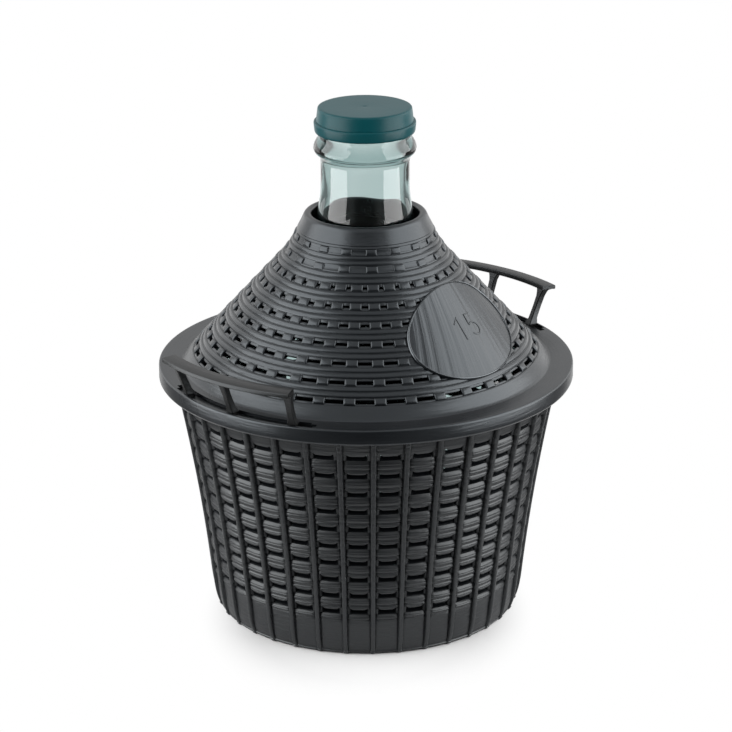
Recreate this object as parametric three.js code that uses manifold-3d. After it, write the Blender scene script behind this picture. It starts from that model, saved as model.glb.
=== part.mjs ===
// A fifteen-litre glass demijohn in a moulded plastic basket that imitates wickerwork.
// The tapered lower basket is a lattice of ribs and slotted bands. A conical cover with a flat brim
// drops over the bottle's shoulder, and two handles stand up from the basket through the brim's slots,
// where barbs on their legs hold the cover down.
// Millimetres, +Z up. The origin is the middle of the underside, and the handles lie along X.
import * as THREE from 'three';
import { mergeVertices } from 'three/addons/utils/BufferGeometryUtils.js';
import Module from 'manifold-3d';

const wasm = await Module();
wasm.setup();

// Gap left between pieces that touch
const GAP = 0.3;

// Lower basket: wall radius by height, wall thickness, and its floor and rim
const WALL_HEIGHT = 215;
const WALL_START = 10;
const WALL_MIDDLE = 110;
const WALL_REFERENCE_HEIGHT = 30;
const WALL_REFERENCE_RADIUS = 136.7;
const WALL_TAPER = 0.1055;
const WALL_FLARE = 0.000288;
const WALL_THICKNESS = 3;
const FLOOR_RADIUS = 128.5;
const FLOOR_THICKNESS = 3.5;
const RIM_RADIUS = 176.5;
const RIM_HEIGHT = 219;
const RIM_THICKNESS = 3;

// Lattice of the basket wall
const BAY_COUNT = 36;
const BAY_ANGLE = 360 / BAY_COUNT;
const RIB_PHASE = 1.8;
const RIB_ANGLE = 1.5;
const RIB_PROUD = 2;
const BASKET_ROWS = 10;
const FIRST_ROW_HEIGHT = 41.7;
const ROW_PITCH = 15.4;
const ROW_PITCH_GROWTH = 0.14;
const BASKET_SLOT_ANGLE = 6;
const BASKET_SLOT_HEIGHT = 3.4;

// Conical cover: a point on the cone at the first row, the step from row to row, and the slot rows
const CONE_ORIGIN = new THREE.Vector2(44.0, 349.3);
const CONE_STEP = new THREE.Vector2(11.48, -12.62);
const CONE_THICKNESS = 4;
const CONE_TOP_ROW = 2.5;
const CONE_FOOT_ROW = 10.05;
const FIRST_OPEN_ROW = 4;
const LAST_OPEN_ROW = 9;
const BRIDGE_PHASE = 4.3;
const BRIDGE_WIDTH = 9.8;
const COVER_SLOT_HEIGHT = 4;

// Collar round the bottle's neck, brim and skirt of the cover
const COLLAR_BORE = 46;
const COLLAR_TOP = 355;
const BRIM_RADIUS = 180;
const BRIM_TOP = 222.5;
const BRIM_THICKNESS = 2.8;
const SKIRT_BOTTOM = 208.9;
const SKIRT_THICKNESS = 2;
const HANDLE_SLOT_INNER = 166.5;
const HANDLE_SLOT_OUTER = 176.9;
const HANDLE_SLOT_HALF_ANGLE = 26.7;
const HANDLE_SLOT_END_ANGLE = 1.6;
const HANDLE_SLOT_END_INSET = 2.6;

// Oval number plate on the cone's front
const PLATE_ROW = 6.05;
const PLATE_HALF_ANGLE = 31;
const PLATE_HALF_ROWS = 2.55;
const PLATE_PROUD = 1.4;
const PLATE_AZIMUTH = -91.9;

// Handles: legs with barbs that catch over the brim, under a grip rail
const HANDLE_HALF_ANGLE = 19.5;
const RAIL_OVERHANG_ANGLE = 1.4;
const RAIL_INNER = 182;
const RAIL_OUTER = 195.5;
const RAIL_TOP = 257.5;
const RAIL_THICKNESS = 5;
const RAIL_LIP_DROP = 1.5;
const LEG_FOOT_RADIUS = 171.4;
const LEG_TOP_RADIUS = 185.5;
const LEG_DEPTH = 6.6;
const LEG_WIDTH = 6;
const BARB_HEIGHT = 5;
const BARB_PROUD = 2.4;
const GUSSET_HEIGHT = 6;
const GUSSET_SPREAD = 4;

// Glass demijohn
const GLASS_THICKNESS = 4.5;
const NECK_RADIUS = 37.9;
const NECK_BORE = 33.4;
const BEAD_RADIUS = 43.8;
const BEAD_HEIGHT = 411.5;
const FINISH_RADIUS = 38.6;
const MOUTH_HEIGHT = 443.7;

// Push-on cap
const CAP_TOP = 447;
const CAP_TOP_RADIUS = 40.3;
const CAP_FOOT_RADIUS = 41.4;
const CAP_BAND_RADIUS = 43.4;
const CAP_BAND_TOP = 434.4;
const CAP_BOTTOM = 425.2;
const CAP_BORE = 39.3;

// Facets round the turned pieces
const GLASS_FACETS = 30;
const CAP_FACETS = 26;

const BLACK = { color: 0x2b2d30, roughness: 0.5, metalness: 0 };
const GLASS = { color: 0xbfd4d0, roughness: 0.05, metalness: 0, transparent: true, opacity: 0.35 };
const TEAL = { color: 0x1f5257, roughness: 0.42, metalness: 0 };

// A point at an azimuth in degrees, a radius and a height
function polar(azimuth, radius, z) {
  const a = THREE.MathUtils.degToRad(azimuth);
  return new THREE.Vector3(radius * Math.cos(a), radius * Math.sin(a), z);
}

// Collects the triangles of a closed surface
class Skin {
  constructor() {
    this.positions = [];
  }

  triangle(a, b, c) {
    for (const p of [a, b, c]) this.positions.push(p.x, p.y, p.z);
  }

  quad(a, b, c, d) {
    this.triangle(a, b, c);
    this.triangle(a, c, d);
  }

  // A path of [radius, height] points turned about Z through the given azimuths, counter-clockwise in section
  ring(azimuths, path) {
    azimuths.forEach((a, i) => {
      const b = azimuths[(i + 1) % azimuths.length];
      for (let j = 0; j + 1 < path.length; j++) {
        const [[r0, z0], [r1, z1]] = [path[j], path[j + 1]];
        if (r0 > 0) this.triangle(polar(a, r0, z0), polar(b, r0, z0), polar(b, r1, z1));
        if (r1 > 0) this.triangle(polar(a, r0, z0), polar(b, r1, z1), polar(a, r1, z1));
      }
    });
  }

  // A flat outline with holes, laid on the curved surface that place(x, y) describes
  face(outline, holes, place, inward = false) {
    const points = [outline, ...holes].flat();
    for (const [i, j, k] of THREE.ShapeUtils.triangulateShape(outline, holes)) {
      const [a, b, c] = [points[i], points[j], points[k]].map((p) => place(p.x, p.y));
      if (inward) this.triangle(a, c, b);
      else this.triangle(a, b, c);
    }
  }

  // The walls of a hole between an outer and an inner surface
  holeWalls(hole, outer, inner) {
    hole.forEach((p, i) => {
      const q = hole[(i + 1) % hole.length];
      this.quad(outer(p.x, p.y), outer(q.x, q.y), inner(q.x, q.y), inner(p.x, p.y));
    });
  }

  geometry() {
    const geometry = new THREE.BufferGeometry();
    geometry.setAttribute('position', new THREE.Float32BufferAttribute(this.positions, 3));
    return geometry;
  }
}

// A closed geometry as a solid for joining and cutting
function solid(geometry) {
  const bare = geometry.clone();
  bare.deleteAttribute('normal');
  bare.deleteAttribute('uv');
  const merged = mergeVertices(bare, 1e-3);
  const vertProperties = new Float32Array(merged.attributes.position.array);
  const triVerts = new Uint32Array(merged.index.array);
  return new wasm.Manifold(new wasm.Mesh({ numProp: 3, vertProperties, triVerts }));
}

// A solid back as a geometry
function geometryOf(body) {
  const { vertProperties, triVerts } = body.getMesh();
  const geometry = new THREE.BufferGeometry();
  geometry.setAttribute('position', new THREE.BufferAttribute(vertProperties, 3));
  geometry.setIndex(new THREE.BufferAttribute(triVerts, 1));
  geometry.computeVertexNormals();
  return geometry;
}

// A profile of [radius, height] points, walked up the outside and down the inside, turned about Z
function turned(profile, facets) {
  const points = profile.map(([r, z]) => new THREE.Vector2(r, z));
  const first = points[0];
  const last = points[points.length - 1];
  const closesOnAxis = first.x === 0 && last.x === 0;
  if (!closesOnAxis) points.push(first.clone());
  const geometry = new THREE.LatheGeometry(points, facets, Math.PI / 2);
  geometry.rotateX(Math.PI / 2);
  return geometry;
}

// A [radius, height] outline, counter-clockwise, swept about Z between two azimuths and closed at both ends
function sweptArc(outline, from, to, steps) {
  const skin = new Skin();
  const section = outline.map(([r, z]) => new THREE.Vector2(r, z));
  const azimuth = (i) => from + ((to - from) * i) / steps;
  for (let i = 0; i < steps; i++) {
    section.forEach((p, j) => {
      const q = section[(j + 1) % section.length];
      const [a, b] = [azimuth(i), azimuth(i + 1)];
      skin.quad(polar(a, p.x, p.y), polar(b, p.x, p.y), polar(b, q.x, q.y), polar(a, q.x, q.y));
    });
  }
  skin.face(section, [], (r, z) => polar(from, r, z));
  skin.face(section, [], (r, z) => polar(to, r, z), true);
  return skin.geometry();
}

// A rectangle in a surface's own coordinates, counter-clockwise
function rectangle(x0, x1, y0, y1) {
  return [[x0, y0], [x1, y0], [x1, y1], [x0, y1]].map(([x, y]) => new THREE.Vector2(x, y));
}

// Outside radius of the basket wall at a height
function wallRadius(z) {
  const rise = z - WALL_REFERENCE_HEIGHT;
  return WALL_REFERENCE_RADIUS + WALL_TAPER * rise + WALL_FLARE * rise * rise;
}

// Height of a slot row of the basket, counted from 0 at the bottom. The pitch grows with the flare.
function basketRowHeight(row) {
  return FIRST_ROW_HEIGHT + ROW_PITCH * row + ROW_PITCH_GROWTH * row * (row - 1);
}

// One bay of the basket's lattice with the rib that follows it: slotted skin and rib with both its ends
function addBasketBay(skin, left) {
  const right = left + BAY_ANGLE - RIB_ANGLE;
  const next = left + BAY_ANGLE;
  const middle = (left + right) / 2;
  const levels = [WALL_START, WALL_MIDDLE, WALL_HEIGHT];
  const outer = (a, z) => polar(a, wallRadius(z), z);
  const inner = (a, z) => polar(a, wallRadius(z) - WALL_THICKNESS, z);
  const rib = (a, z) => polar(a, wallRadius(z) + RIB_PROUD, z);
  const outline = (columns) => {
    const [first, last] = [columns[0], columns[columns.length - 1]];
    return [
      ...columns.map((a) => new THREE.Vector2(a, WALL_START)),
      new THREE.Vector2(last, WALL_MIDDLE),
      ...[...columns].reverse().map((a) => new THREE.Vector2(a, WALL_HEIGHT)),
      new THREE.Vector2(first, WALL_MIDDLE),
    ];
  };
  const slots = [];
  for (let row = 0; row < BASKET_ROWS; row++) {
    const z = basketRowHeight(row);
    const halfAngle = BASKET_SLOT_ANGLE / 2;
    const halfHeight = BASKET_SLOT_HEIGHT / 2;
    slots.push(rectangle(middle - halfAngle, middle + halfAngle, z - halfHeight, z + halfHeight));
  }
  skin.face(outline([left, right]), slots, outer);
  skin.face(outline([left, right, next]), slots, inner, true);
  for (const slot of slots) skin.holeWalls(slot, outer, inner);

  for (let i = 0; i + 1 < levels.length; i++) {
    const [a, b] = [levels[i], levels[i + 1]];
    skin.quad(outer(right, a), rib(right, a), rib(right, b), outer(right, b));
    skin.quad(rib(right, a), rib(next, a), rib(next, b), rib(right, b));
    skin.quad(rib(next, a), outer(next, a), outer(next, b), rib(next, b));
  }
  const [low, high] = [WALL_START, WALL_HEIGHT];
  skin.quad(outer(right, high), rib(right, high), rib(next, high), outer(next, high));
  skin.quad(outer(next, low), rib(next, low), rib(right, low), outer(right, low));
}

// Lower basket: lattice wall, dished floor and an outward rim under the cover's brim
function basketGeometry() {
  const skin = new Skin();
  const columns = [];
  for (let bay = 0; bay < BAY_COUNT; bay++) {
    const left = RIB_PHASE + bay * BAY_ANGLE + RIB_ANGLE / 2;
    columns.push(left, left + BAY_ANGLE - RIB_ANGLE);
    addBasketBay(skin, left);
  }
  skin.ring(columns, [
    [0, 0],
    [FLOOR_RADIUS, 0],
    [FLOOR_RADIUS + 3.5, 4],
    [wallRadius(WALL_START), WALL_START],
  ]);
  skin.ring(columns, [
    [wallRadius(WALL_START) - WALL_THICKNESS, WALL_START],
    [FLOOR_RADIUS - 4, FLOOR_THICKNESS],
    [0, FLOOR_THICKNESS],
  ]);
  skin.ring(columns, [
    [wallRadius(WALL_HEIGHT), WALL_HEIGHT],
    [RIM_RADIUS, RIM_HEIGHT - RIM_THICKNESS],
    [RIM_RADIUS, RIM_HEIGHT],
    [wallRadius(RIM_HEIGHT) - WALL_THICKNESS, RIM_HEIGHT],
    [wallRadius(WALL_HEIGHT) - WALL_THICKNESS, WALL_HEIGHT],
  ]);
  return geometryOf(solid(skin.geometry()));
}

// A point of the cone at an azimuth and a row number, at a depth below its outer face
function conePoint(azimuth, row, depth) {
  const length = CONE_STEP.length();
  const inward = new THREE.Vector2(CONE_STEP.y / length, -CONE_STEP.x / length);
  const p = CONE_ORIGIN.clone().addScaledVector(CONE_STEP, row).addScaledVector(inward, depth);
  return polar(azimuth, p.x, p.y);
}

// Whether a slot of the cone at this azimuth and row falls under the oval plate
function underPlate(azimuth, row) {
  const away = THREE.MathUtils.euclideanModulo(azimuth - PLATE_AZIMUTH + 180, 360) - 180;
  const margin = 1.12;
  return Math.hypot(away / PLATE_HALF_ANGLE, (row - PLATE_ROW) / PLATE_HALF_ROWS) < margin;
}

// One sector of the cone between two bridges, with its slots
function addConeSector(skin, left) {
  const right = left + BAY_ANGLE;
  const middle = (left + right) / 2;
  const halfRow = COVER_SLOT_HEIGHT / 2 / CONE_STEP.length();
  const outer = (a, down) => conePoint(a, -down, 0);
  const inner = (a, down) => conePoint(a, -down, CONE_THICKNESS);
  const slots = [];
  for (let row = FIRST_OPEN_ROW; row <= LAST_OPEN_ROW; row++) {
    const radius = CONE_ORIGIN.x + CONE_STEP.x * row;
    const bridge = THREE.MathUtils.radToDeg(BRIDGE_WIDTH / radius);
    const half = (BAY_ANGLE - bridge) / 2;
    if (underPlate(middle, row)) continue;
    slots.push(rectangle(middle - half, middle + half, -row - halfRow, -row + halfRow));
  }
  const outline = rectangle(left, right, -CONE_FOOT_ROW, -CONE_TOP_ROW);
  skin.face(outline, slots, outer);
  skin.face(outline, slots, inner, true);
  for (const slot of slots) skin.holeWalls(slot, outer, inner);
}

// The raised oval plate, bent to the cone
function plateGeometry() {
  const skin = new Skin();
  const points = 40;
  const oval = [];
  for (let i = 0; i < points; i++) {
    const t = (2 * Math.PI * i) / points;
    const azimuth = PLATE_AZIMUTH + PLATE_HALF_ANGLE * Math.cos(t);
    oval.push(new THREE.Vector2(azimuth, -PLATE_ROW + PLATE_HALF_ROWS * Math.sin(t)));
  }
  const face = (a, down) => conePoint(a, -down, -PLATE_PROUD);
  const back = (a, down) => conePoint(a, -down, CONE_THICKNESS / 2);
  const middle = new THREE.Vector2(PLATE_AZIMUTH, -PLATE_ROW);
  const at = (place, p) => place(p.x, p.y);
  oval.forEach((p, i) => {
    const q = oval[(i + 1) % points];
    const inside = [p, q].map((edge) => edge.clone().lerp(middle, 0.5));
    for (const [place, out] of [[face, true], [back, false]]) {
      const [a, b, c, d, m] = [p, q, inside[1], inside[0], middle].map((v) => at(place, v));
      if (out) {
        skin.quad(a, b, c, d);
        skin.triangle(d, c, m);
      } else {
        skin.quad(b, a, d, c);
        skin.triangle(c, d, m);
      }
    }
    skin.quad(at(face, q), at(face, p), at(back, p), at(back, q));
  });
  return skin.geometry();
}

// Cover: slotted cone with its oval plate, collar round the neck, and a brim with a skirt and handle slots
function coverGeometry() {
  const skin = new Skin();
  const columns = [];
  for (let sector = 0; sector < BAY_COUNT; sector++) {
    const left = BRIDGE_PHASE + sector * BAY_ANGLE;
    columns.push(left);
    addConeSector(skin, left);
  }
  const onCone = (row, depth) => {
    const p = conePoint(0, row, depth);
    return [p.x, p.z];
  };
  skin.ring(columns, [
    onCone(CONE_TOP_ROW, 0),
    [60.5, 336.3],
    [58.7, 340.4],
    [53.8, 351],
    [51, COLLAR_TOP - 0.8],
    [48, COLLAR_TOP],
    [COLLAR_BORE, COLLAR_TOP - 1.5],
    [COLLAR_BORE, COLLAR_TOP - 15],
    onCone(CONE_TOP_ROW, CONE_THICKNESS),
  ]);
  const skirtInner = BRIM_RADIUS - SKIRT_THICKNESS;
  const brimUnder = BRIM_TOP - BRIM_THICKNESS;
  skin.ring(columns, [
    onCone(CONE_FOOT_ROW, CONE_THICKNESS),
    [skirtInner, brimUnder],
    [skirtInner, SKIRT_BOTTOM],
    [BRIM_RADIUS, SKIRT_BOTTOM],
    [BRIM_RADIUS, BRIM_TOP - 1.5],
    [BRIM_RADIUS - 1.5, BRIM_TOP],
    onCone(CONE_FOOT_ROW, 0),
  ]);

  let cover = solid(skin.geometry()).add(solid(plateGeometry()));
  const slot = (side, halfAngle, inset) => {
    const [inner, outer] = [HANDLE_SLOT_INNER + inset, HANDLE_SLOT_OUTER - inset];
    const [low, high] = [brimUnder - 2, BRIM_TOP + 2];
    const section = [[inner, low], [outer, low], [outer, high], [inner, high]];
    return solid(sweptArc(section, side - halfAngle, side + halfAngle, 10));
  };
  for (const side of [0, 180]) {
    cover = cover.subtract(slot(side, HANDLE_SLOT_HALF_ANGLE - HANDLE_SLOT_END_ANGLE, 0));
    cover = cover.subtract(slot(side, HANDLE_SLOT_HALF_ANGLE, HANDLE_SLOT_END_INSET));
  }
  return geometryOf(cover);
}

// One leg of a handle: it leans outward from the basket's rim to the rail, with a barb above the brim
function legGeometry(azimuth) {
  const skin = new Skin();
  const foot = RIM_HEIGHT + GAP;
  const barb = BRIM_TOP + GAP;
  const top = RAIL_TOP - RAIL_THICKNESS / 2;
  const rings = [
    [foot, LEG_WIDTH, 0],
    [barb, LEG_WIDTH, 0],
    [barb + GAP, LEG_WIDTH + BARB_PROUD, BARB_PROUD],
    [barb + BARB_HEIGHT, LEG_WIDTH, 0],
    [top - GUSSET_HEIGHT, LEG_WIDTH, 0],
    [top, LEG_WIDTH + GUSSET_SPREAD, 0],
  ].map(([z, width, proud]) => {
    const radius = THREE.MathUtils.mapLinear(z, foot, top, LEG_FOOT_RADIUS, LEG_TOP_RADIUS);
    const half = THREE.MathUtils.radToDeg(width / 2 / radius);
    const [inner, outer] = [radius - LEG_DEPTH / 2, radius + LEG_DEPTH / 2 + proud];
    const corners = [[-half, outer], [half, outer], [half, inner], [-half, inner]];
    return corners.map(([turn, r]) => polar(azimuth + turn, r, z));
  });
  for (let k = 0; k + 1 < rings.length; k++) {
    const [low, high] = [rings[k], rings[k + 1]];
    low.forEach((p, i) => {
      const j = (i + 1) % low.length;
      skin.quad(p, low[j], high[j], high[i]);
    });
  }
  skin.quad(...rings[rings.length - 1]);
  skin.quad(...[...rings[0]].reverse());
  return skin.geometry();
}

// A handle: an arched grip rail, concentric with the brim and lipped outward, on three leaning legs
function handleGeometry(azimuth) {
  const under = RAIL_TOP - RAIL_THICKNESS;
  const end = HANDLE_HALF_ANGLE + RAIL_OVERHANG_ANGLE;
  let handle = solid(sweptArc([
    [RAIL_INNER, under],
    [RAIL_INNER + 6, under],
    [RAIL_OUTER - 3, RAIL_TOP - 4],
    [RAIL_OUTER, RAIL_TOP - RAIL_LIP_DROP - 3],
    [RAIL_OUTER, RAIL_TOP - RAIL_LIP_DROP],
    [RAIL_OUTER - 2, RAIL_TOP - RAIL_LIP_DROP / 2],
    [RAIL_INNER + 1, RAIL_TOP],
    [RAIL_INNER, RAIL_TOP - 1],
  ], azimuth - end, azimuth + end, 10));
  for (const step of [-1, 0, 1]) {
    handle = handle.add(solid(legGeometry(azimuth + step * HANDLE_HALF_ANGLE)));
  }
  return geometryOf(handle);
}

// The demijohn: a punted base, tapered body, round shoulder, flared neck, bead and mouth
function demijohnGeometry() {
  const floor = FLOOR_THICKNESS + GAP;
  const outside = [
    [0, floor + 12],
    [104, floor],
    [127, floor + 14],
    [138, 110],
    [148, 180],
    [146.5, 205],
    [136, 226],
    [62, 308],
    [47, 331],
    [NECK_RADIUS + 1.6, 362],
    [NECK_RADIUS, 377],
    [NECK_RADIUS, BEAD_HEIGHT - 10],
    [BEAD_RADIUS - 2, BEAD_HEIGHT - 4.5],
    [BEAD_RADIUS, BEAD_HEIGHT],
    [BEAD_RADIUS - 1.5, BEAD_HEIGHT + 5],
    [FINISH_RADIUS, BEAD_HEIGHT + 10.5],
    [FINISH_RADIUS, MOUTH_HEIGHT - 2],
    [FINISH_RADIUS - 1.5, MOUTH_HEIGHT],
  ];
  const t = GLASS_THICKNESS;
  const inside = [
    [NECK_BORE, MOUTH_HEIGHT],
    [NECK_BORE, 377],
    [47 - t, 329],
    [62 - t + 0.6, 304.5],
    [136 - t, 222.5],
    [146.5 - t, 203],
    [148 - t, 180],
    [138 - t, 110],
    [127 - t, floor + 17],
    [102, floor + t],
    [0, floor + 12 + t],
  ];
  return turned([...outside, ...inside], GLASS_FACETS);
}

// The push-on cap: a tapered top with a rounded edge over a flared band that grips the mouth
function capGeometry() {
  return turned([
    [0, MOUTH_HEIGHT + GAP],
    [CAP_BORE, MOUTH_HEIGHT + GAP],
    [CAP_BORE, CAP_BOTTOM + 1],
    [CAP_BORE + 0.5, CAP_BOTTOM],
    [CAP_BAND_RADIUS - 2, CAP_BOTTOM],
    [CAP_BAND_RADIUS - 0.6, CAP_BOTTOM + 2],
    [CAP_BAND_RADIUS, CAP_BOTTOM + 5],
    [CAP_BAND_RADIUS - 0.4, CAP_BAND_TOP - 0.4],
    [CAP_FOOT_RADIUS, CAP_BAND_TOP],
    [CAP_TOP_RADIUS + 0.1, CAP_TOP - 3],
    [CAP_TOP_RADIUS - 0.8, CAP_TOP - 1],
    [CAP_TOP_RADIUS - 3, CAP_TOP],
    [0, CAP_TOP],
  ], CAP_FACETS);
}

function piece(name, geometry, look) {
  const mesh = new THREE.Mesh(geometry, new THREE.MeshStandardMaterial(look));
  mesh.name = name;
  return mesh;
}

const demijohn = new THREE.Group();
demijohn.add(
  piece('basket', basketGeometry(), BLACK),
  piece('handle_right', handleGeometry(0), BLACK),
  piece('handle_left', handleGeometry(180), BLACK),
  piece('cover', coverGeometry(), BLACK),
  piece('demijohn', demijohnGeometry(), GLASS),
  piece('cap', capGeometry(), TEAL),
);

export default demijohn;
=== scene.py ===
# Looks of the demijohn in its moulded basket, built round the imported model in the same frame.
# Lengths in the shape functions are millimetres and become metres when a mesh is made.
import math

import bmesh
import bpy
import numpy as np
from mathutils import Matrix, Vector


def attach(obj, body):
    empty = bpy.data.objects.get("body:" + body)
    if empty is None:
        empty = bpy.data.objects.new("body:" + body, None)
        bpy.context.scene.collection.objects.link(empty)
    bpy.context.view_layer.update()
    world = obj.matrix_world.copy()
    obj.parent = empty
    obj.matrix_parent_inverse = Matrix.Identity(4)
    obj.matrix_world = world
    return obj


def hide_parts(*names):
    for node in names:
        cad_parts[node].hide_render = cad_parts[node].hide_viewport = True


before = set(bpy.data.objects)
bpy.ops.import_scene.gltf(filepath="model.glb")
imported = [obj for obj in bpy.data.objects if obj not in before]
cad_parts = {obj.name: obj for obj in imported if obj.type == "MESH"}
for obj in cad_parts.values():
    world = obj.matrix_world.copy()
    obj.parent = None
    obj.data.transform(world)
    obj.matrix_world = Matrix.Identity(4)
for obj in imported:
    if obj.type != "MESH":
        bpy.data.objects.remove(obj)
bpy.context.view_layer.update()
scene = bpy.context.scene
MM = 0.001

# Camera, from the photograph's ellipses and ribs
CAMERA_DISTANCE = 2340.0
CAMERA_HEIGHT = 1054.0
CAMERA_AZIMUTH = -140.3
CAMERA_PITCH = 19.744
CAMERA_ROLL = 0.265
FOCAL_PIXELS = 2854.4
IMAGE_PIXELS = 732
SENSOR_WIDTH = 36.0

# Oval of floor that keeps its shadow for the camera, in metres: along the view and across it
FADE_OVAL = (0.2, 0.137, 1.0)
FADE_OVAL_SHIFT = 0.04

# Lamps, in metres and watts: name, bearing in degrees from the camera's side round to the right, distance,
# height, height aimed at, width, tallness, power
LAMPS = [
    ("left_softbox", -74.0, 0.85, 0.875, 0.875, 1.3, 0.95, 14.5),
    ("right_softbox", 82.0, 0.85, 0.875, 0.875, 1.3, 0.95, 14.5),
    ("low_left_panel", -73.0, 0.85, 0.2, 0.2, 0.83, 0.4, 5.6),
    ("low_right_panel", 73.0, 0.85, 0.2, 0.2, 0.83, 0.4, 5.6),
    ("back_left_fill", -136.0, 1.6, 0.9, 0.9, 0.9, 1.7, 5.0),
    ("back_right_fill", 136.0, 1.6, 0.9, 0.9, 0.9, 1.7, 5.0),
    ("back_softbox", 180.0, 2.2, 1.0, 0.2, 2.6, 1.2, 4.0),
]

# Basket
WALL_REFERENCE_HEIGHT = 30.0
WALL_REFERENCE_RADIUS = 136.7
WALL_TAPER = 0.1055
WALL_FLARE = 0.000288
WALL_THICKNESS = 5.2
FOOT_HEIGHT = 16.0
FOOT_TUCK = 4.6
BAY_COUNT = 36
BAY_ANGLE = 360.0 / BAY_COUNT
RIB_PHASE = 1.8
RIB_PROUD = 2.0
RIB_HALF_ANGLE = 0.9
BASKET_ROWS = 10
FIRST_ROW_HEIGHT = 41.7
ROW_PITCH = 15.4
ROW_PITCH_GROWTH = 0.14
SLOT_HALF_ANGLE = 3.05
SLOT_BELOW = 2.4
SLOT_ABOVE = 2.0
SLOT_HORN = 1.4
SLOT_SLANT = 2.4
LOWEST_STRAND_FOOT = 34.6
UPPER_STRAND_FOOT = 6.7
LOWER_STRAND_TOP = 6.67

# Cover
CONE_ORIGIN = (44.0, 349.3)
CONE_STEP = (11.48, -12.62)
CONE_BEND_ROW = 2.8
CONE_BEND = 1.57
CONE_PITCH = math.hypot(*CONE_STEP)
CONE_NORMAL = (12.62 / CONE_PITCH, 11.48 / CONE_PITCH)
KNUCKLE_PHASE = 4.3
KNUCKLE_HALF_WIDTH = 4.9
COVER_THICKNESS = 4.6
COVER_ROWS = 10
FIRST_OPEN_ROW = 3
SLIT_HALF_HEIGHT = 1.15
SLIT_GROWTH = 0.11
SLIT_GROWTH_ROW = 4
COVER_STRAND_STARTS = (3.5, 8.62)
COVER_STRAND_HEIGHT = 5.0
COVER_STRAND_DEPTH = 1.25
BRIM_TOP = 222.5
BRIM_UNDERSIDE = 219.7
BRIM_SLOT_HALF_ANGLES = (25.0, 26.8, 25.6)
PLATE_AZIMUTH = -91.9
PLATE_ROW = 6.05
PLATE_HALF_ACROSS = 60.4
PLATE_HALF_UP = 43.7
PLATE_RISE = 0.8
PLATE_LEAN = 0.143
PLATE_SPREAD = 0.04
PLATE_FACE_SHARE = 0.979
PLATE_FACE_PROUD = 0.85
STAVE_WIDTH = 10.3
STAVE_STEP = 0.13

# Handles, with the radius and height of a leg's foot
HANDLE_RAIL_HALF_ANGLE = 20.9
HANDLE_LEG_ANGLE = 19.5
HANDLE_FOOT = (171.4, 219.3)
HANDLE_LEG_SLOPE = 14.0 / 34.0
LEG_CHAMFER = 0.8

# Depth of the plastics' grain, in metres
GRAIN_DEPTH = 0.0003


def wall_radius(z):
    rise = z - WALL_REFERENCE_HEIGHT
    return WALL_REFERENCE_RADIUS + WALL_TAPER * rise + WALL_FLARE * rise * rise


def row_height(row):
    return FIRST_ROW_HEIGHT + ROW_PITCH * row + ROW_PITCH_GROWTH * row * (row - 1)


def cone_base(row):
    bend = max(0.0, CONE_BEND_ROW - row)
    radius = CONE_ORIGIN[0] + CONE_STEP[0] * row + CONE_BEND * bend * bend
    return radius, CONE_ORIGIN[1] + CONE_STEP[1] * row


def smoothstep(low, high, value):
    t = np.clip((value - low) / (high - low), 0.0, 1.0)
    return t * t * (3.0 - 2.0 * t)


# Turn from one azimuth to another, from -180 to 180 degrees
def turn_from(start, azimuth):
    return (azimuth - start + 180.0) % 360.0 - 180.0


def polar(azimuth, radius, z):
    a = np.radians(azimuth)
    return np.stack(np.broadcast_arrays(radius * np.cos(a), radius * np.sin(a), z), axis=-1)


def make_object(name, verts, faces, sharp_angle=32.0):
    mesh = bpy.data.meshes.new(name)
    mesh.from_pydata((np.asarray(verts, dtype=float) * MM).tolist(), [], faces)
    bm = bmesh.new()
    bm.from_mesh(mesh)
    bmesh.ops.remove_doubles(bm, verts=bm.verts, dist=2e-6)
    bmesh.ops.recalc_face_normals(bm, faces=bm.faces)
    bm.to_mesh(mesh)
    bm.free()
    mesh.polygons.foreach_set("use_smooth", [True] * len(mesh.polygons))
    mesh.set_sharp_from_angle(angle=math.radians(sharp_angle))
    mesh.update()
    obj = bpy.data.objects.new(name, mesh)
    scene.collection.objects.link(obj)
    return obj


def join_parts(parts):
    verts, faces = [], []
    for part_verts, part_faces in parts:
        start = len(verts)
        verts.extend(np.asarray(part_verts, dtype=float).reshape(-1, 3).tolist())
        faces.extend([[start + i for i in face] for face in part_faces])
    return verts, faces


# Faces of a tube through rings of count points each, closed at both ends
def tube_faces(rings, count):
    faces = []
    for j in range(rings - 1):
        for i in range(count):
            n = (i + 1) % count
            faces.append([j * count + i, j * count + n, (j + 1) * count + n, (j + 1) * count + i])
    faces.append(list(range(count))[::-1])
    faces.append([(rings - 1) * count + i for i in range(count)])
    return faces


# A profile of (radius, height) points turned about Z. A point on the axis closes the surface.
def turned(profile, facets=128, closed=False):
    angles = np.arange(facets) * 360.0 / facets
    profile = np.asarray(profile, dtype=float)
    verts = polar(angles[None, :], profile[:, 0:1], profile[:, 1:2]).reshape(-1, 3)
    faces = []
    count = len(profile)
    for j in range(count if closed else count - 1):
        k = (j + 1) % count
        for i in range(facets):
            n = (i + 1) % facets
            corners = [j * facets + i, j * facets + n, k * facets + n, k * facets + i]
            if profile[j, 0] < 1e-6:
                corners = [j * facets, k * facets + n, k * facets + i]
            elif profile[k, 0] < 1e-6:
                corners = [j * facets + i, j * facets + n, k * facets]
            faces.append(corners)
    return verts, faces


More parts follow.
